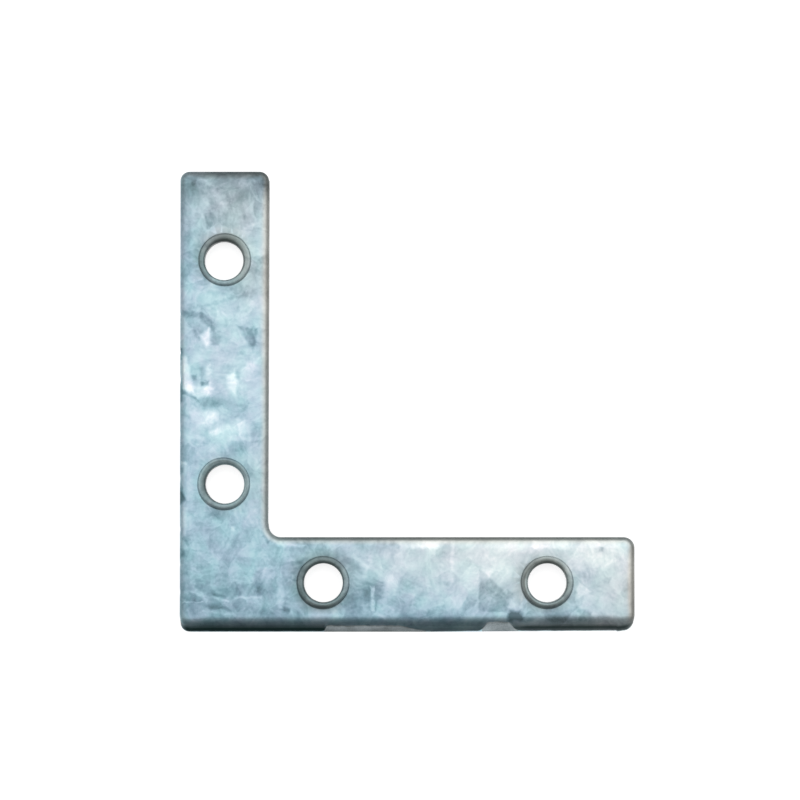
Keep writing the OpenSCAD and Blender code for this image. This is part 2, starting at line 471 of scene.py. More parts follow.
def fill_flat(outline, mouths):
    """Triangles between an outline and the rings round the holes, with their points."""
    fences = [outline] + mouths
    xs = np.arange(-leg_w, leg_end, NET)
    net = np.array([(x + (NET / 2 if row % 2 else 0), y)
                    for row, y in enumerate(np.arange(-leg_w, leg_end, NET_ROWS)) for x in xs])
    keep = covers(outline, net)
    for mouth in mouths:
        keep &= ~covers(mouth, net)
    net = net[keep]
    near = np.vstack(fences)
    gap = np.array([np.min(np.hypot(*(near - p).T)) for p in net])
    net = net[gap > NET_GAP]
    points = np.vstack(fences + [net])
    edges, start = [], 0
    for fence in fences:
        count = len(fence)
        edges += [(start + k, start + (k + 1) % count) for k in range(count)]
        start += count
    made = delaunay_2d_cdt([Vector(p) for p in points], edges, [], 0, 1e-7)
    places = np.array([tuple(p) for p in made[0]])
    faces = np.array([f for f in made[2] if len(f) == 3])
    middles = places[faces].mean(1)
    wanted = covers(outline, middles)
    for mouth in mouths:
        wanted &= ~covers(mouth, middles)
    return places, faces[wanted]


# %% [markdown]
# ## The mesh
# Everything now meets in one mesh: the swept edge, four turned holes and two filled flats. The
# flats take over the points of the rings where they can find them again. Where rounding parts a
# point from its twin, a new one is made beside it, and the skin stays open there by a hair. So
# the mesh looks whole but isn't quite closed, and the number of open edges is printed at the
# end. Every face is told which of three finishes it has.
# Every point also carries two numbers. The first is painted shade: it darkens the zinc where the
# rolled edge turns away from the light, along the arris, on the torn strip and round the holes,
# where it also stands for some real rubbing. The second, "worn", says how far it was rubbed through
# to the grey steel, as it is along the sharper edges and round the holes. The materials read both.

# %% Build the plate
ZINC, BURNISHED, TORN = 0, 1, 2
# The lower edge counts as torn from this share of a stretch on
TORN_OPEN = 0.12
verts, drawn, worn, faces, finishes = [], [], [], [], []


def add_grid(grid, shade, wear, finish_at):
    """Quads over rings of points; gives back the index of every point."""
    count, rows = grid.shape[:2]
    base = len(verts)
    verts.extend(map(tuple, grid.reshape(-1, 3)))
    drawn.extend(shade.reshape(-1))
    worn.extend(wear.reshape(-1))
    index = base + np.arange(count * rows).reshape(count, rows)
    for k in range(count):
        after = (k + 1) % count
        for row in range(rows - 1):
            faces.append((index[k, row], index[after, row],
                          index[after, row + 1], index[k, row + 1]))
            finishes.append(finish_at(k, row))
    return index


def edge_finish(station, row):
    x, lean = stations[station, [0, 4]]
    if lean > 0.5:
        return TORN if row >= WALL_END + 1 and torn_share(x) > TORN_OPEN else ZINC
    if row >= WALL_END + 1:
        return TORN
    return BURNISHED if row >= ARRIS_END - 1 else ZINC


def hole_finish(spoke, row):
    if row < HOLE_TORN_END:
        return TORN
    return BURNISHED if row < HOLE_BORE_END + 2 else ZINC


def ease(value):
    value = np.clip(value, 0, 1)
    return value * value * (3 - 2 * value)


def fade_in(row, ends):
    """Rises from 0 to 1 between two rows of the section."""
    return ease((row - ends[0]) / (ends[1] - ends[0]))


flat_row = rings[:, :1] + FLAT_ROW * np.column_stack([stations[:, 2:4], 0 * travel])[:, None]
edge_grid = np.concatenate([flat_row, rings], axis=1)
# Painted shade: along the foot the zinc darkens as it turns down, away from the light, elsewhere
# over the last of the roll and along the arris
row = np.arange(SECTION_POINTS + 1)[None, :] - 1
leaning = stations[:, 4:5]
STRIP_ROWS, ARRIS_ROWS, WEAR_ROWS = (0, 7.5), (6.5, 10), (2, 8)
TURNED_Z = (0.0, 1.25, 1.8, 2.2, 2.35, 2.45, 2.5)
TURNED_DARK = (1.0, 1.0, 0.9, 0.55, 0.32, 0.14, 0.0)
turned_down = np.interp(edge_grid[:, :, 2], TURNED_Z, TURNED_DARK)
last_strip = strip_dark[:, None] * fade_in(row, STRIP_ROWS)
arris_line = arris_dark[:, None] * fade_in(row, ARRIS_ROWS)
# The painted shade is darkest below the heel, and beyond the spall it darkens more evenly
HEEL_END, SPALL_END, BLEND = 17, 46, 4
PALER = 0.12
FAR_Z = (0.0, 0.6, 1.3, 1.6, 1.85, 2.05, 2.2, 2.35, 2.45, 2.5)
FAR_DARK = (0.84, 0.90, 0.97, 0.95, 0.74, 0.42, 0.26, 0.17, 0.10, 0.0)
turned_down *= 1 - PALER * np.clip((stations[:, :1] - HEEL_END) / BLEND, 0, 1)
far = np.clip((stations[:, :1] - SPALL_END) / BLEND, 0, 1)
turned_down += far * (np.interp(edge_grid[:, :, 2], FAR_Z, FAR_DARK) - turned_down)
edge_shade = leaning * turned_down + (1 - leaning) * (last_strip + arris_line)
# An arris at least this dark is rubbed as far as any
FULL_RUB = 0.3
edge_wear = ((1 - leaning) * fade_in(row, WEAR_ROWS)
             * np.clip(arris_dark / FULL_RUB, 0, 1)[:, None])
# Painted shade: the long torn strip darkens towards the back, the short spall is left pale
torn_rows = row >= WALL_END + 1
STRIP_END = 40
in_strip = np.clip((STRIP_END - stations[:, :1]) / BLEND, 0, 1)
torn_strip_shade = np.interp(edge_grid[:, :, 2], (0.0, 1.3, 1.9), (0.50, 0.34, 0.0))
edge_shade = np.where(torn_rows & (leaning > 0.5), in_strip * torn_strip_shade, edge_shade)
edge_index = add_grid(edge_grid, edge_shade, edge_wear, edge_finish)

# Radii of the bore, the mouth, the crest, the slope and the flat outside
LIP_AT = (hole_r, hole_r + 0.3, crest_r, lip_foot_r - 0.15, lip_foot_r + FLAT_ROW)
spoke_angle = 2 * np.pi * np.arange(HOLE_STEPS) / HOLE_STEPS
towards = np.column_stack([np.cos(spoke_angle), np.sin(spoke_angle)])
# Weights of the four directions on each spoke, which always add up to one
weights = np.clip(np.column_stack([towards, -towards]), 0, None) ** 2
lip_share = np.interp(hole_rows[:, 0], LIP_AT, (1, 1, 1, 0.6, 0))
hole_indices = {}
for name in holes:
    grid = hole_rings(name)
    mouth, crest, slope = (weights @ np.array(ways) for ways in LIP_SHADE_AND_WEAR[name])
    zones = np.column_stack([mouth, mouth, crest, slope, 0.5 * slope])
    # across is painted shade round each hole, with some real rubbing in it
    across = np.array([np.interp(hole_rows[:, 0], LIP_AT, zone) for zone in zones])
    wear = RUBBED_BARE * across + LIP_GREY * lip_share
    hole_indices[name] = add_grid(grid, across, wear, hole_finish)


def add_flat(outline_index, mouth_indices, height, finish, wavy):
    outline = np.array([verts[k][:2] for k in outline_index])
    mouths = [np.array([verts[k][:2] for k in ring]) for ring in mouth_indices]
    places, triangles = fill_flat(outline, mouths)
    known = np.concatenate([outline_index, *mouth_indices])
    # The filled points come back in single precision, so a few no longer round to their twins
    lookup = {}
    for k in known:
        lookup[(round(verts[k][0], 5), round(verts[k][1], 5))] = int(k)
    index = []
    for x, y in places:
        key = (round(float(x), 5), round(float(y), 5))
        if key not in lookup:
            lookup[key] = len(verts)
            lift = WAVE_HIGH * wave(x / WAVE_LONG, y / WAVE_LONG, 6.5) if wavy else 0.0
            verts.append((float(x), float(y), height + lift))
            drawn.append(0.0)
            worn.append(0.0)
        index.append(lookup[key])
    for a, b, c in triangles:
        faces.append((index[a], index[b], index[c]))
        finishes.append(finish)
    return len(triangles)


top = add_flat(edge_index[:, 0], [i[:, -1] for i in hole_indices.values()], sheet_t, ZINC, True)
back = add_flat(edge_index[:, -1], [i[:, 0] for i in hole_indices.values()], 0.0, ZINC, False)
print("triangles in the face", top, "and in the back", back)

mesh = bpy.data.meshes.new("galvanised_plate")
mesh.from_pydata([Vector(v) * MM for v in verts], [], faces)
mesh.polygons.foreach_set("material_index", finishes)
# The first attribute is painted shade, with some real rubbing round the holes; the second is wear
for name, values in (("drawn", drawn), ("worn", worn)):
    reading = mesh.attributes.new(name, "FLOAT", "POINT")
    reading.data.foreach_set("value", np.clip(values, 0, 1).astype(np.float32))
shaper = bmesh.new()
shaper.from_mesh(mesh)
bmesh.ops.recalc_face_normals(shaper, faces=shaper.faces)
open_edges = sum(1 for e in shaper.edges if len(e.link_faces) != 2)
volume = shaper.calc_volume() / MM ** 3
shaper.to_mesh(mesh)
shaper.free()
mesh.shade_smooth()
SHARP = math.radians(38)
mesh.set_sharp_from_angle(angle=SHARP)
plate = bpy.data.objects.new("galvanised_plate", mesh)
bpy.context.scene.collection.objects.link(plate)
print("open edges:", open_edges, " volume:", round(volume, 1), "mm3 ", len(mesh.polygons), "faces")

# %% [markdown]
# ## Helpers for the materials
# Colours are written as the hex numbers of a colour picker, which are sRGB, and the renderer
# works in linear light, so one function turns the one into the other. Node trees get long, so
# one small function adds a node, sets it and links it, and hands back its output.

# %% Colour and node helpers


def colour(hex_code):
    parts = [int(hex_code[k:k + 2], 16) / 255 for k in (1, 3, 5)]
    linear = [c / 12.92 if c <= 0.04045 else ((c + 0.055) / 1.055) ** 2.4 for c in parts]
    return (*linear, 1.0)


def add(tree, kind, inputs=None, out=0, **settings):
    node = tree.nodes.new("ShaderNode" + kind)
    for name, value in settings.items():
        setattr(node, name, value)
    for key, value in (inputs or {}).items():
        if isinstance(value, bpy.types.NodeSocket):
            tree.links.new(value, node.inputs[key])
        else:
            node.inputs[key].default_value = value
    return node.outputs[out] if len(node.outputs) else None


def new_material(name):
    material = bpy.data.materials.new(name)
    material.use_nodes = True
    material.node_tree.nodes.clear()
    return material, material.node_tree


print("mid grey of the helper:", round(colour("#808080")[0], 3))

# %% [markdown]
# ## Spangled zinc
# The sheet was galvanised in a bath of molten zinc before it was blanked. As the zinc froze it
# grew flat crystals, the spangles, 2 to 6 mm across here, which have since dulled into soft
# clouds. Each one reflects a little differently, and has faint feathers that run one way. The
# crystals come from two smooth Voronoi patterns, the feathers from noise that is stretched along
# a direction of each crystal's own, and the clouds from slow noise. Everything is laid out from
# the blank's own middle lines, so that it stays put on the plate if the holes move.

# %% Zinc: crystals and feathers
# Mean sizes in millimetres
CRYSTAL = 5.5
SMALL_CRYSTAL = 2.2
FEATHER_LONG, FEATHER_WIDE = 2.4, 0.6
CLOUD = 9.0
MOTTLE = 2.0
SPECKLE = 0.5

zinc, tree = new_material("spangled_zinc")
place = add(tree, "TexCoord", out="Object")
in_mm = add(tree, "VectorMath", {0: place, 1: (1 / MM, 1 / MM, 1 / MM), 2: (-blank_x, -blank_y, 0)},
            operation="MULTIPLY_ADD")
bend = add(tree, "TexNoise", {"Vector": in_mm, "Scale": 1 / 3.0, "Detail": 3.0}, out="Color")
bend_centred = add(tree, "VectorMath", {0: bend, 1: (0.5, 0.5, 0.5)}, operation="SUBTRACT")
bent = add(tree, "VectorMath", {0: bend_centred, 1: (2.0, 2.0, 0.0), 2: in_mm},
           operation="MULTIPLY_ADD")
crystal = add(tree, "TexVoronoi", {"Vector": bent, "Scale": 1 / CRYSTAL, "Smoothness": 0.12},
              out="Color", voronoi_dimensions="2D", feature="SMOOTH_F1")
small = add(tree, "TexVoronoi", {"Vector": bent, "Scale": 1 / SMALL_CRYSTAL, "Smoothness": 0.2},
            out="Color", voronoi_dimensions="2D", feature="SMOOTH_F1")
crystal_parts = add(tree, "SeparateColor", {"Color": crystal}).node
small_parts = add(tree, "SeparateColor", {"Color": small}).node
feather_turn = add(tree, "Math", {0: crystal_parts.outputs["Blue"], 1: 2 * math.pi},
                   operation="MULTIPLY")
turned = add(tree, "VectorRotate", {"Vector": bent, "Angle": feather_turn},
             rotation_type="Z_AXIS")
combed = add(tree, "VectorMath", {0: turned, 1: (1 / FEATHER_LONG, 1 / FEATHER_WIDE, 0.3)},
             operation="MULTIPLY")
feather = add(tree, "TexNoise", {"Vector": combed, "Scale": 1.0, "Detail": 2.0,
                                 "Roughness": 0.4}, out="Fac")
cloud = add(tree, "TexNoise", {"Vector": in_mm, "Scale": 1 / CLOUD, "Detail": 3.0,
                               "Roughness": 0.6}, out="Fac")
mottle = add(tree, "TexNoise", {"Vector": bent, "Scale": 1 / MOTTLE, "Detail": 3.0,
                                "Roughness": 0.6}, out="Fac")
speckle = add(tree, "TexNoise", {"Vector": in_mm, "Scale": 1 / SPECKLE, "Detail": 2.0}, out="Fac")
shade_and_rub_fac = add(tree, "Attribute", out="Fac", attribute_name="drawn")
worn_through = add(tree, "Attribute", out="Fac", attribute_name="worn")


def layer(tone, pattern, middle, amount):
    """Adds a pattern to the tone, so that its middle value leaves the tone as it is."""
    spread = add(tree, "Math", {0: pattern, 1: middle}, operation="SUBTRACT")
    return add(tree, "Math", {0: spread, 1: amount, 2: tone}, operation="MULTIPLY_ADD")


tone = add(tree, "Value")
tone.default_value = 0.512
tone = layer(tone, crystal_parts.outputs["Red"], 0.5, 0.15)
tone = layer(tone, small_parts.outputs["Green"], 0.5, 0.13)
tone = layer(tone, feather, 0.5, 0.28)
tone = layer(tone, cloud, 0.5, 0.15)
tone = layer(tone, mottle, 0.5, 0.42)
tone = layer(tone, speckle, 0.5, 0.20)
print("zinc has", len(tree.nodes), "nodes so far")

# %% [markdown]
# ## The dulling that this plate has
# Zinc dulls unevenly, and broad soft pools, one ellipse each, carry that: the heel and the end of
# the upright are darker, and the foot is palest along its upper edge and at its end. Round each
# hole the punch left a dull halo. Some pools are painted light and shade instead: pale strips on
# the roll of the foot's upper edge and of the upright's right edge are painted highlights, and dark
# bands on the roll of the lower edge are painted shade. The broad darkening of the heel and of the
# upright's end is partly the zinc's own tone and partly painted shade. The tone is a plain number
# from 0, dark, to 1, pale, and becomes a colour later. The same kind of pool also says where the
# zinc has lost its blue and gone grey. The pools are summed on their own and meet the tone at the
# very end. A long sum that waits for the crystals would make the renderer hold every pool at once,
# and it has room for only a few hundred numbers: past that the metal comes out black.

# %% Zinc: broad pools
# (x, y, half width, half height, change), all in millimetres but the last
DULL_AND_PAINTED_LIGHT_POOLS = [
    # round the holes
    (0.1, 16.3, 6.4, 6.4, -0.14), (16.4, 0, 7.2, 7.2, -0.24), (53.4, 0, 6.2, 6.4, -0.20),
    (0.1, 53.2, 6, 6, -0.10),
    # heel; the long dark band at (6, -5.2) on the lower edge's roll is painted shade
    (6, -5.2, 12, 2.2, -0.14), (-4, -4.5, 5, 3, -0.12), (8, -4, 2.6, 2, 0.09),
    (0, -3, 13, 6, -0.18), (-6, -3, 2.4, 2.4, 0.08), (-5.5, -2.5, 3, 5, -0.18),
    (8.5, 1, 3, 5, -0.12), (0, 3, 12, 8, -0.04), (8, 6, 2.5, 2, -0.09), (-3, 10.5, 3.6, 3, -0.13),
    (-6, 10.5, 2.4, 4, 0.10),
    # upright, from the heel to its outer hole; the long pale strip at x 6.2 on the right edge's
    # roll is a painted highlight
    (-6, 20, 2, 3, 0.06), (2.6, 22, 2.8, 2, -0.18), (5.5, 23.5, 2, 3, -0.08),
    (-1, 24, 6, 3, 0.12), (4, 24, 3, 2.6, -0.15), (0, 25.6, 6, 2.6, 0.10),
    (1, 27.5, 5, 1.8, -0.06), (-3, 30, 5, 2.6, -0.16), (0, 33, 12, 20, 0.18), (3, 33, 5, 6, 0.06),
    (-2, 33, 2.6, 2.4, -0.08), (6, 35, 2.5, 4, -0.15), (4.2, 36, 2.6, 3, 0.10),
    (2, 36, 2.4, 2.4, 0.06), (-3.5, 38, 4, 3, 0.08), (6.2, 38, 1.6, 28, 0.07),
    (0, 42, 3, 2.5, -0.13), (-3, 42.3, 5, 2.4, -0.14), (3, 44, 6, 4, 0.06),
    (-6, 45, 3, 2.5, -0.16), (6, 45, 2.5, 2.5, 0.09), (0, 48, 3, 2.5, -0.09),
    (4, 48, 3, 2.4, -0.08), (1, 48.5, 4, 2.5, -0.10), (6, 51, 2.6, 3, -0.10),
    (-6, 52, 1.6, 4, -0.08),
    # end of the upright
    (-6, 54, 2, 2.4, 0.06), (-4, 57, 3, 2.5, -0.10), (0, 60, 9, 4, -0.08),
    (-5.5, 60, 3, 9, -0.16), (-6, 60, 2, 3, 0.12), (-2.5, 63, 4, 2.4, 0.10),
    (-3.5, 63, 2.6, 2.4, 0.07), (-5, 65, 4, 3, -0.14), (6, 65, 3, 4, -0.16),
    (0, 66, 13, 8, -0.17), (6, 66, 3, 3, -0.30), (6, 66, 2.6, 2.4, 0.09), (-6, 66, 2.4, 2, -0.06),
    # foot, from the heel outwards; the dark bands near y -6 on the lower edge's roll are painted
    # shade, and the pale one at (46, 6) on the upper edge's roll is a painted highlight
    (11, -4, 3, 2, 0.12), (11, 2, 2.4, 2, 0.07), (12, -3, 8, 7, -0.12), (12, 3, 5, 4, -0.06),
    (12, 6, 6, 1.6, -0.10), (14, 6, 2.5, 2, -0.08), (17.4, 6, 2, 2, 0.08),
    (19.6, 3.4, 4, 3.2, -0.12), (20.6, -1, 3, 5, -0.10), (22, -6.4, 8, 1, -0.10),
    (22.8, -3, 3, 2.4, 0.12), (23, -2, 2.4, 2.2, -0.08), (23.5, -3.2, 5, 3.2, -0.32),
    (24.5, 0, 3.5, 2.4, -0.11), (26, 1.4, 4, 2.4, 0.10), (26, 6, 3, 2.2, -0.12),
    (28, -4, 4, 2.6, -0.16), (28.6, 6, 3, 1.6, -0.10), (29, 2, 2.6, 2.2, 0.08),
    (30, -6.2, 17, 2, -0.20), (31, 0.6, 8, 4, -0.08), (32, 4, 3, 2.4, -0.10), (33, 0, 6, 5, 0.08),
    (34, 4, 13, 6, 0.14), (35, 2, 2.6, 2.4, -0.08), (36, -3, 7, 3, 0.12), (39, 0, 7, 5, 0.14),
    (41, -1.4, 3, 2.4, 0.06), (43, 3, 8, 5, 0.22), (44.3, -2.8, 3, 3.4, 0.11),
    (45.4, 1.4, 4.6, 3.4, 0.20), (46, 6, 20, 1.8, 0.18), (48, 5.5, 7, 3.4, 0.22),
    (49, -6, 4, 1.6, -0.12), (50, -4, 2.4, 2, -0.10), (56, -6.1, 9, 1.7, -0.20),
    (58, -6.3, 12, 1.2, -0.20), (60, 1, 4, 3.6, -0.22), (60, 4, 14, 8, 0.24),
    (60, -3, 5, 3, 0.12), (62, 0, 2.6, 2.4, 0.08), (66, 0, 6, 8, 0.08),
]
GREY_POOLS = [
    (0, 64, 14, 14, 0.34), (0, 42, 12, 26, 0.10), (7, 17, 6, 12, 0.20), (16.4, 0, 8, 8, 0.14),
    (40, 5, 34, 12, 0.36), (53.4, 0, 7, 7, 0.10), (68, -1, 15, 13, 0.50), (68.2, 0, 2.6, 10, 0.45),
    (7.4, 45, 2.2, 34, 0.42), (4.5, 50, 5, 8, 0.28), (50, -1, 14, 8, 0.18), (61, 5, 8, 4, 0.16),
    (4, 59, 7, 12, 0.14), (52, 5, 24, 4, 0.12), (58, -7.6, 20, 3, 0.42),
]
# The dull halo of each hole is also a little greener
HALO = 7.0
GREEN_TINT = "#f8fff8"
# So deep that the height of the point makes no difference
POOL_DEEP = 1000.0


def pool_at(x, y, half_x, half_y):
    """A soft ellipse: 1 in its middle, and 0 from its rim on, however high the point lies."""
    centred = add(tree, "Mapping", {"Vector": in_mm, "Location": (x, y, 0),
                                    "Scale": (half_x, half_y, POOL_DEEP)}, vector_type="TEXTURE")
    round_pool = add(tree, "TexGradient", {"Vector": centred}, out="Fac",
                     gradient_type="SPHERICAL")
    return add(tree, "MapRange", {"Value": round_pool}, interpolation_type="SMOOTHSTEP")


def summed(pools):
    """Adds pools up on a chain of their own."""
    total = 0.0
    for x, y, half_x, half_y, amount in pools:
        total = add(tree, "Math", {0: pool_at(x, y, half_x, half_y), 1: amount, 2: total},
                    operation="MULTIPLY_ADD")
    return total


dulling_and_painted_light = summed(DULL_AND_PAINTED_LIGHT_POOLS)
grey_share = summed(GREY_POOLS)
halo_share = summed([(x - blank_x, y - blank_y, HALO, HALO, 1.0) for x, y in holes.values()])
print(len(DULL_AND_PAINTED_LIGHT_POOLS), "dull or pale pools and", len(GREY_POOLS), "grey ones")

# %% [markdown]
# ## Crystals and marks that can be told apart
# A few crystals and marks are so plain to see that they are placed one by one. Each is a small
# convex patch given by its corners. With the point written as (x, y, 1), one dot product gives the
# distance to a side, and the smallest of these distances says how deep inside the point is.
# A little noise in the point keeps the sides from looking ruled.

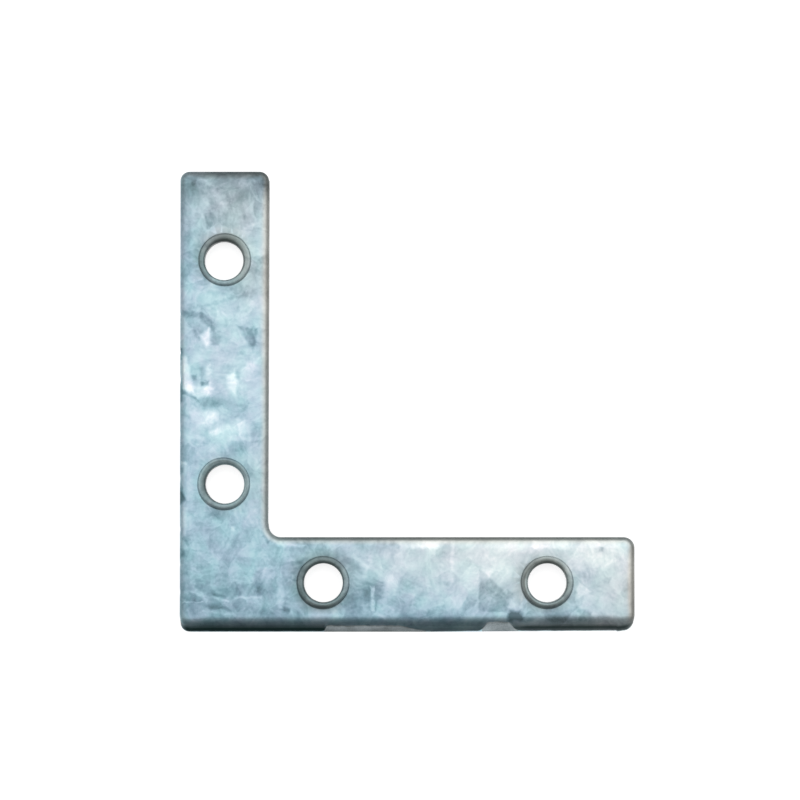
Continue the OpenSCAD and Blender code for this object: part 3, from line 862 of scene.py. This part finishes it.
# %% Zinc: patches placed one by one
# corners in millimetres, change of tone, softness of the sides in millimetres
PATCHES = [
    # end of the upright
    ([(-5.6, 62.4), (-3.4, 61.6), (-4.2, 56.0), (-5.4, 56.0)], 0.14, 1.2),
    ([(-3.0, 66.0), (-2.2, 66.2), (0.4, 61.6), (-0.6, 61.0)], 0.10, 0.8),
    ([(-2.7, 63.6), (1.2, 63.4), (1.4, 58.8), (-2.5, 58.8)], -0.07, 0.7),
    ([(2.0, 65.2), (4.2, 65.0), (3.4, 62.8), (2.0, 63.2)], -0.10, 0.9),
    ([(-6.8, 59.6), (-5.6, 59.6), (-5.6, 54.0), (-6.8, 54.0)], -0.10, 0.9),
    ([(3.0, 60.6), (5.4, 62.0), (5.6, 58.0), (4.0, 57.4)], -0.08, 1.0),
    # between the upright's holes
    ([(-5.9, 45.4), (3.8, 47.7), (3.8, 47.1), (-5.9, 44.8)], -0.10, 0.5),
    ([(-6.9, 44.8), (-3.8, 44.5), (-3.4, 43.6), (-6.9, 43.7)], -0.20, 0.6),
    ([(-3.9, 44.6), (-1.0, 42.2), (-1.8, 41.5), (-4.3, 43.5)], -0.18, 0.6),
    ([(-2.2, 45.4), (-1.5, 45.4), (-1.2, 42.8), (-2.0, 42.8)], -0.10, 0.6),
    ([(-4.1, 40.6), (-2.5, 42.0), (-2.2, 39.6), (-2.9, 38.9)], 0.34, 0.8),
    ([(-1.9, 41.6), (-0.7, 41.4), (-0.6, 38.6), (-2.0, 39.3)], -0.16, 1.0),
    ([(2.1, 42.4), (5.4, 41.9), (5.3, 39.6), (4.7, 38.4), (3.4, 40.2)], -0.30, 0.7),
    ([(5.2, 41.9), (6.4, 41.6), (6.3, 36.4), (4.8, 38.2)], -0.12, 1.0),
    # the pale flake by the left edge: column, foot, right arm and the marks inside it
    ([(-7.0, 37.2), (-5.9, 36.8), (-5.4, 33.4), (-4.9, 31.2), (-7.0, 31.9)], 0.26, 0.7),
    ([(-6.4, 32.6), (-4.6, 32.3), (-1.9, 31.9), (-2.2, 30.9), (-4.4, 30.3), (-6.0, 31.1)],
     0.18, 0.7),
    ([(-3.3, 35.4), (-2.4, 36.0), (-1.9, 31.8), (-3.2, 31.6)], 0.20, 0.7),
    ([(-4.2, 35.2), (-3.0, 35.6), (-2.9, 34.1), (-3.7, 33.6)], -0.12, 0.6),
    ([(-3.9, 33.1), (-2.6, 33.2), (-2.6, 32.4), (-3.9, 32.4)], -0.42, 0.5),
    ([(-5.3, 34.1), (-4.6, 34.1), (-4.6, 33.2), (-5.3, 33.2)], -0.26, 0.6),
    ([(-7.0, 31.9), (-4.6, 30.4), (-4.2, 29.7), (-7.0, 31.1)], -0.24, 0.5),
    ([(-4.6, 30.2), (4.6, 29.6), (4.6, 28.2), (-4.2, 28.6)], -0.10, 1.4),
    ([(-0.4, 33.0), (1.7, 35.0), (2.2, 33.2), (1.7, 29.6), (0.8, 30.4), (0.6, 32.0)], 0.26, 0.8),
    ([(1.8, 34.8), (2.6, 35.2), (2.6, 33.6), (2.0, 33.0)], -0.10, 0.8),
    ([(-5.7, 28.0), (-1.6, 28.6), (-0.6, 26.6), (-4.6, 25.4)], 0.14, 1.2),
    ([(4.0, 26.2), (6.3, 26.4), (6.3, 23.2), (4.6, 22.8)], -0.18, 1.2),
    ([(-6.7, 23.6), (-0.8, 29.0), (0.6, 28.8), (-5.6, 22.8)], 0.08, 0.8),
    ([(-3.6, 25.4), (2.4, 28.2), (2.8, 27.4), (-3.0, 24.6)], -0.08, 0.7),
    ([(-2.4, 24.6), (3.4, 27.0), (3.6, 26.4), (-2.0, 24.0)], 0.08, 0.6),
    ([(0.8, 24.1), (6.2, 23.9), (6.2, 23.3), (1.0, 23.3)], 0.14, 0.5),
    ([(-7.3, 23.0), (-5.9, 22.8), (-6.1, 19.9), (-7.3, 19.9)], -0.20, 1.0),
    ([(-3.0, 12.2), (0.4, 12.0), (0.0, 10.4), (-2.6, 10.6)], -0.12, 1.0),
    # spots down the left side, where the rolled zinc has rubbed dull
    ([(-7.4, 38.8), (-6.95, 38.6), (-6.95, 36.8), (-7.4, 36.6)], -0.30, 0.4),
    ([(-7.4, 34.0), (-6.95, 33.6), (-6.9, 29.8), (-7.4, 29.3)], -0.28, 0.4),
    ([(-7.2, 20.0), (-6.0, 19.6), (-6.0, 19.2), (-7.2, 19.5)], 0.20, 0.3),
    ([(-7.4, 19.2), (-6.7, 18.9), (-6.7, 18.0), (-7.4, 17.7)], -0.26, 0.6),
    ([(-7.4, 14.9), (-6.6, 14.5), (-6.4, 13.4), (-7.4, 12.7)], -0.32, 0.8),
    ([(-6.9, 12.4), (-6.2, 12.2), (-6.2, 7.6), (-6.9, 7.4)], 0.12, 0.5),
    ([(-7.4, 5.5), (-6.5, 5.2), (-6.4, 4.2), (-7.4, 3.9)], -0.24, 0.8),
    ([(1.2, 9.2), (1.8, 9.0), (1.7, 8.4), (1.2, 8.5)], 0.24, 0.5),
    # heel
    ([(6.6, 8.0), (7.6, 6.7), (7.2, 6.2), (6.3, 7.4)], -0.22, 0.5),
    ([(-6.9, 10.0), (-6.0, 10.0), (-5.6, 6.0), (-6.9, 6.0)], -0.10, 0.9),
    ([(-6.9, 5.2), (-5.8, 5.2), (-5.6, 1.0), (-6.9, 1.0)], -0.12, 0.9),
    ([(-5.2, -0.6), (-2.2, -2.6), (-2.8, -3.4), (-5.4, -1.6)], 0.12, 0.6),
    ([(-6.9, -3.3), (-3.4, -3.3), (-3.4, -3.5), (-6.9, -3.5)], 0.16, 0.2),
    ([(-2.0, -1.8), (0.5, -2.3), (0.4, -2.7), (-2.0, -2.2)], -0.14, 0.4),
    ([(-2.0, -2.3), (0.9, -3.1), (0.8, -3.4), (-2.1, -2.7)], 0.16, 0.3),
    ([(-3.6, -3.7), (0.8, -4.2), (1.4, -4.9), (-3.2, -4.3)], -0.12, 0.5),
    ([(-3.6, -4.6), (1.6, -5.2), (1.6, -5.6), (-3.6, -5.0)], 0.12, 0.4),
    ([(2.0, -0.3), (6.4, -0.3), (6.4, -2.2), (2.0, -2.2)], -0.10, 0.8),
    ([(1.8, -2.5), (6.2, -2.4), (6.2, -2.8), (1.8, -2.9)], 0.12, 0.3),
    ([(5.0, 1.8), (6.4, 1.8), (6.4, -2.0), (5.2, -2.0)], -0.10, 0.7),
    ([(8.6, 0.4), (9.6, 2.6), (9.8, -4.4), (9.0, -4.6)], 0.12, 0.7),
    ([(9.8, -4.2), (10.8, -4.4), (10.8, -5.0), (9.8, -5.0)], -0.20, 0.5),
    # foot, from the heel outwards
    ([(7.9, 7.0), (9.4, 6.7), (13.6, 6.6), (13.6, 5.9), (9.0, 5.8)], 0.24, 0.7),
    ([(11.2, 4.2), (11.8, 4.4), (13.4, 2.0), (12.8, 1.8)], -0.10, 0.5),
    ([(20.0, 4.6), (23.4, 1.7), (22.9, 1.0), (19.8, 3.4)], -0.12, 0.6),
    ([(21.4, 4.8), (24.0, 2.4), (23.7, 1.9), (21.0, 4.2)], 0.14, 0.4),
    ([(22.8, 0.0), (26.4, -0.4), (26.0, -3.2), (23.4, -3.6)], -0.14, 1.0),
    ([(24.2, -0.8), (24.8, -0.8), (24.9, -4.8), (24.3, -4.8)], 0.28, 0.4),
    ([(26.2, 1.2), (29.0, 1.0), (28.6, -1.6), (27.0, -1.2)], 0.12, 0.7),
    ([(27.6, 7.0), (36.0, 7.0), (35.2, 5.6), (29.6, 5.4)], 0.20, 0.8),
    ([(37.4, 7.0), (38.1, 7.0), (37.9, 1.6), (37.4, 1.6)], 0.14, 0.5),
    ([(42.3, 3.2), (45.2, -0.4), (47.6, -2.4), (46.6, -5.0), (42.0, -5.0)], -0.20, 0.5),
    ([(46.8, -1.4), (48.0, -1.8), (47.7, -2.9), (46.7, -2.7)], -0.18, 0.5),
    ([(50.8, 7.0), (57.0, 7.0), (56.8, 5.4), (51.2, 5.4)], 0.12, 0.8),
    ([(60.2, 6.9), (66.8, 6.9), (66.8, 3.4), (63.6, 5.0)], 0.20, 0.9),
    ([(58.6, 0.0), (60.7, -1.6), (58.0, -3.0)], 0.20, 0.5),
    ([(61.6, 1.8), (64.4, 4.0), (64.8, 3.4), (62.2, 1.2)], 0.10, 0.6),
    ([(62.0, 5.7), (62.7, 5.7), (62.7, 5.0), (62.0, 5.0)], -0.30, 0.5),
    ([(62.8, 0.9), (63.9, 0.6), (63.7, -0.4), (62.8, -0.2)], -0.14, 0.6),
    ([(47.0, -4.7), (49.0, -4.8), (49.4, -6.4), (47.0, -6.6)], -0.54, 1.2),
    ([(59.8, 6.9), (61.7, 6.9), (61.0, 4.5)], 0.14, 0.6),
    ([(58.4, 1.9), (59.9, 1.6), (59.7, 0.6), (58.5, 0.7)], -0.12, 0.6),
    ([(58.0, -4.2), (60.8, -4.9), (60.6, -5.7), (58.2, -5.0)], -0.18, 0.6),
    ([(36.2, 0.0), (37.4, 0.0), (37.2, -0.7), (36.4, -0.7)], -0.16, 0.6),
]
ragged = add(tree, "TexNoise", {"Vector": in_mm, "Scale": 1 / 0.9, "Detail": 3.0}, out="Color")
ragged_centred = add(tree, "VectorMath", {0: ragged, 1: (0.5, 0.5, 0.5)}, operation="SUBTRACT")
marked_at = add(tree, "VectorMath", {0: ragged_centred, 1: (0.7, 0.7, 0.0), 2: in_mm},
                operation="MULTIPLY_ADD")
marked_xy = add(tree, "SeparateXYZ", {"Vector": marked_at}).node
point = add(tree, "CombineXYZ", {"X": marked_xy.outputs["X"], "Y": marked_xy.outputs["Y"],
                                 "Z": 1.0})
marks = 0.0
for corners, amount, soft in PATCHES:
    middle = np.mean(corners, axis=0)
    depth = None
    for start, end in zip(corners, corners[1:] + corners[:1]):
        side = np.array([end[1] - start[1], start[0] - end[0]], float)
        side /= np.linalg.norm(side)
        if side @ (middle - start) < 0:
            side = -side
        away = add(tree, "VectorMath", {0: point, 1: (*side, -float(side @ np.array(start)))},
                   out="Value", operation="DOT_PRODUCT")
        depth = away if depth is None else add(tree, "Math", {0: depth, 1: away},
                                               operation="MINIMUM")
    patch = add(tree, "MapRange", {"Value": depth, "From Min": -soft / 2, "From Max": soft / 2},
                interpolation_type="SMOOTHSTEP")
    marks = add(tree, "Math", {0: patch, 1: amount, 2: marks}, operation="MULTIPLY_ADD")
tone = add(tree, "Math", {0: tone, 1: dulling_and_painted_light}, operation="ADD")
tone = add(tree, "Math", {0: tone, 1: marks}, operation="ADD")
print(len(PATCHES), "patches,", len(tree.nodes), "nodes")

# %% [markdown]
# ## From tone to zinc
# The tone now picks a colour: dark blue-green where the coat is dull, pale and almost white where a
# crystal faces the light. The cast wanders between teal and lavender, and the grey pools take the
# blue out and warm it a little. After that the painted shade darkens the zinc and dims its specular
# tint. The metal keeps the default IOR, and its roughness of about 0.4 is usual for weathered
# galvanising.

# %% Zinc: colour and finish
# Size of the patches of cast in millimetres, and how much of the blue full wear takes out
HUE_PATCH = 3.2
WORN_GREY = 0.5
SHADES = [(0.0, "#5d777f"), (0.25, "#819fac"), (0.5, "#a7c3cf"), (0.75, "#c7dae2"),
          (1.0, "#ecf1f4")]
ramp = add(tree, "ValToRGB", {"Fac": tone}).node
while len(ramp.color_ramp.elements) < len(SHADES):
    ramp.color_ramp.elements.new(0.5)
for element, (position, shade) in zip(ramp.color_ramp.elements, SHADES):
    element.position = position
    element.color = colour(shade)
cast = add(tree, "TexNoise", {"Vector": bent, "Scale": 1 / HUE_PATCH, "Detail": 3.0}, out="Fac")
cast_share = add(tree, "MapRange", {"Value": cast, "From Min": 0.35, "From Max": 0.65})
cast_colour = add(tree, "Mix", {0: cast_share, 6: colour("#f2fffd"), 7: colour("#fffaff")},
                  out=2, data_type="RGBA")
tinted = add(tree, "Mix", {0: 1.0, 6: ramp.outputs["Color"], 7: cast_colour}, out=2,
             data_type="RGBA", blend_type="MULTIPLY")
blue_lost = add(tree, "Math", {0: worn_through, 1: WORN_GREY, 2: grey_share},
                operation="MULTIPLY_ADD", use_clamp=True)
blue_left = add(tree, "Math", {0: 1.0, 1: blue_lost}, operation="SUBTRACT", use_clamp=True)
greyed = add(tree, "HueSaturation", {"Saturation": blue_left, "Color": tinted})
warmed = add(tree, "Mix", {0: grey_share, 6: colour("#ffffff"), 7: colour("#fffbf6")}, out=2,
             data_type="RGBA")
coat = add(tree, "Mix", {0: 1.0, 6: greyed, 7: warmed}, out=2, data_type="RGBA",
           blend_type="MULTIPLY")
coat = add(tree, "Mix", {0: worn_through, 6: coat, 7: colour("#fcfffb")}, out=2,
           data_type="RGBA", blend_type="MULTIPLY")
coat = add(tree, "Mix", {0: halo_share, 6: coat, 7: colour(GREEN_TINT)}, out=2,
           data_type="RGBA", blend_type="MULTIPLY")
# Painted shade, with some real rubbing round the holes, darkens the zinc towards a dark green-grey
shaded_and_rubbed = add(tree, "Mix", {0: shade_and_rub_fac, 6: coat, 7: colour("#1b2624")}, out=2,
             data_type="RGBA")
# The same painted shade dims the specular tint, darkening the reflection there
shade_dimmed_tint = add(tree, "Mix", {0: shade_and_rub_fac, 6: colour("#ffffff"), 7: colour("#b2b6b8")}, out=2,
                data_type="RGBA")
dull = add(tree, "MapRange", {"Value": tone, "To Min": 0.52, "To Max": 0.36})
relief = add(tree, "Bump", {"Height": mottle, "Strength": 0.35, "Distance": 0.03 * MM})
shader = add(tree, "BsdfPrincipled", {"Base Color": shaded_and_rubbed, "Roughness": dull, "Metallic": 1.0,
                                      "Specular Tint": shade_dimmed_tint, "Normal": relief})
add(tree, "OutputMaterial", {"Surface": shader})
mesh.materials.append(zinc)
print("zinc:", len(tree.nodes), "nodes")

# %% [markdown]
# ## The burnished wall
# Below the roll the die rubbed against bare steel and left it dark, smooth and streaked from
# face to back. A little zinc is smeared down with it. Streaks that run up and down come from
# noise that hardly changes with height.

# %% Burnished steel
STREAK = 0.35
burnished, tree = new_material("burnished_steel_cut")
place = add(tree, "TexCoord", out="Object")
in_mm = add(tree, "VectorMath", {0: place, "Scale": 1 / MM}, operation="SCALE")
upright_streaks = add(tree, "VectorMath", {0: in_mm, 1: (1 / STREAK, 1 / STREAK, 0.25)},
                      operation="MULTIPLY")
streaks = add(tree, "TexNoise", {"Vector": upright_streaks, "Scale": 1.0, "Detail": 3.0},
              out="Fac")
smear = add(tree, "TexNoise", {"Vector": in_mm, "Scale": 1 / 4.0, "Detail": 3.0}, out="Fac")
shade_and_rub_fac = add(tree, "Attribute", out="Fac", attribute_name="drawn")
mixed = add(tree, "Math", {0: streaks, 1: 0.5, 2: smear}, operation="MULTIPLY_ADD")
share = add(tree, "MapRange", {"Value": mixed, "From Min": 0.55, "From Max": 0.95})
steel = add(tree, "Mix", {0: share, 6: colour("#6a6f6f"), 7: colour("#959b9c")}, out=2,
            data_type="RGBA")
# Painted shade: the wall darkens towards near black with the per-point shade
shaded_and_rubbed = add(tree, "Mix", {0: shade_and_rub_fac, 6: steel, 7: colour("#20282a")}, out=2,
             data_type="RGBA")
gloss = add(tree, "MapRange", {"Value": streaks, "To Min": 0.3, "To Max": 0.5})
relief = add(tree, "Bump", {"Height": streaks, "Strength": 0.4, "Distance": 0.02 * MM})
shader = add(tree, "BsdfPrincipled", {"Base Color": shaded_and_rubbed, "Roughness": gloss,
                                      "Normal": relief, "Metallic": 1.0})
add(tree, "OutputMaterial", {"Surface": shader})
mesh.materials.append(burnished)
print("burnished steel:", len(tree.nodes), "nodes")

# %% [markdown]
# ## The torn band
# Where the steel broke, it is grainy and matt, and paler than the burnished wall, partly as its own
# colour and partly as painted light for the light that its many small faces always catch. Grain of
# 0.2 mm is coarser than real steel has, so that it shows in the picture. The same painted shade as
# elsewhere darkens it, most on the long torn strip towards the back.

# %% Torn steel
TORN_GRAIN = 0.2
torn, tree = new_material("torn_steel")
place = add(tree, "TexCoord", out="Object")
in_mm = add(tree, "VectorMath", {0: place, "Scale": 1 / MM}, operation="SCALE")
grain = add(tree, "TexNoise", {"Vector": in_mm, "Scale": 1 / TORN_GRAIN, "Detail": 4.0},
            out="Fac")
patchy = add(tree, "TexNoise", {"Vector": in_mm, "Scale": 1 / 2.5, "Detail": 3.0}, out="Fac")
mixed = add(tree, "Math", {0: grain, 1: 0.6, 2: patchy}, operation="MULTIPLY_ADD")
share = add(tree, "MapRange", {"Value": mixed, "From Min": 0.55, "From Max": 1.05})
# Painted shade: darkens the torn band, most on the long torn strip towards the back
torn_shade = add(tree, "Attribute", out="Fac", attribute_name="drawn")
steel = add(tree, "Mix", {0: share, 6: colour("#7a8588"), 7: colour("#b4bfc3")}, out=2,
            data_type="RGBA")
steel = add(tree, "Mix", {0: torn_shade, 6: steel, 7: colour("#3a3d3b")}, out=2, data_type="RGBA")
relief = add(tree, "Bump", {"Height": grain, "Strength": 0.6, "Distance": 0.05 * MM})
shader = add(tree, "BsdfPrincipled", {"Base Color": steel, "Roughness": 0.6,
                                      "Normal": relief, "Metallic": 1.0})
add(tree, "OutputMaterial", {"Surface": shader})
mesh.materials.append(torn)
print("torn steel:", len(tree.nodes), "nodes")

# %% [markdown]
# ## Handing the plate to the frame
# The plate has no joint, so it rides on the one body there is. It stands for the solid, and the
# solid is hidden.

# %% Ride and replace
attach(plate, "root")
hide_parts("corner_plate")

# %% [markdown]
# ## Floor
# The plate lies on a plain white floor. The floor is lit like anything else, so it keeps the
# plate's shadow, and to that it adds a little light of its own for the camera and for
# reflections, so that it comes out white.

# %% Floor
FLOOR_HALF = 6.0
FLOOR_GLOW = 0.72
# Just clear of the plate's back, so that the two don't flicker through each other
FLOOR_Z = -0.02 * MM
corners = [(-FLOOR_HALF, -FLOOR_HALF, FLOOR_Z), (FLOOR_HALF, -FLOOR_HALF, FLOOR_Z),
           (FLOOR_HALF, FLOOR_HALF, FLOOR_Z), (-FLOOR_HALF, FLOOR_HALF, FLOOR_Z)]
floor_mesh = bpy.data.meshes.new("floor")
floor_mesh.from_pydata(corners, [], [(0, 1, 2, 3)])
floor = bpy.data.objects.new("floor", floor_mesh)
bpy.context.scene.collection.objects.link(floor)
paper, tree = new_material("white_paper")
path = add(tree, "LightPath").node
seen = add(tree, "Math", {0: path.outputs["Is Camera Ray"], 1: path.outputs["Is Glossy Ray"]},
           operation="MAXIMUM")
seen = add(tree, "Math", {0: seen, 1: path.outputs["Is Transmission Ray"]}, operation="MAXIMUM")
glow = add(tree, "Math", {0: seen, 1: FLOOR_GLOW}, operation="MULTIPLY")
matt = add(tree, "BsdfDiffuse", {"Color": colour("#c8c8c8")})
shine = add(tree, "Emission", {"Strength": glow})
both = add(tree, "AddShader", {0: matt, 1: shine})
add(tree, "OutputMaterial", {"Surface": both})
floor_mesh.materials.append(paper)
print("floor", 2 * FLOOR_HALF, "m across")

# %% [markdown]
# ## Light
# The picture shows one broad soft light, high up and a little beyond the upright's end, since
# edges that face that way are bright and edges that face the viewer go dark. One large area
# lamp does it, with a dim world to fill in. Its strength is set so that a metal that looks
# straight up into it shows its own colour.

# %% Lamp and world
LAMP_AT = (0.1, 1.2, 1.2)
LAMP_WIDE, LAMP_DEEP = 4.5, 3.2
lamp_data = bpy.data.lights.new("soft_box", "AREA")
lamp_data.shape = "RECTANGLE"
lamp_data.size = LAMP_WIDE
lamp_data.size_y = LAMP_DEEP
lamp_data.energy = math.pi * LAMP_WIDE * LAMP_DEEP
lamp = bpy.data.objects.new("soft_box", lamp_data)
lamp.location = LAMP_AT
lamp.visible_camera = False
bpy.context.scene.collection.objects.link(lamp)
world = bpy.data.worlds.new("studio")
world.use_nodes = True
world.node_tree.nodes.clear()
sky = add(world.node_tree, "Background", {"Color": colour("#ffffff"), "Strength": 0.3})
add(world.node_tree, "OutputWorld", {"Surface": sky})
bpy.context.scene.world = world
print("lamp", round(lamp_data.energy, 1), "W")

# %% [markdown]
# ## Camera
# The picture was taken from above with a long lens, so neither leg tapers. The bores show a
# little of their far wall, so the camera leans two degrees towards the foot's side.

# %% Camera
VIEW_MIDDLE = (28.97, 30.21)
VIEW_WIDE = 132.32
TILT = math.radians(2)
camera_data = bpy.data.cameras.new("camera")
camera_data.lens = 180
camera_data.sensor_width = 36
camera = bpy.data.objects.new("camera", camera_data)
distance = VIEW_WIDE * camera_data.lens / camera_data.sensor_width
camera.location = (VIEW_MIDDLE[0] * MM, (VIEW_MIDDLE[1] - distance * math.sin(TILT)) * MM,
                   (distance * math.cos(TILT) + sheet_t) * MM)
camera.rotation_euler = (TILT, 0, 0)
bpy.context.scene.collection.objects.link(camera)
bpy.context.scene.camera = camera
bpy.context.scene.view_settings.view_transform = "Standard"
print("camera", round(distance), "mm above the face")
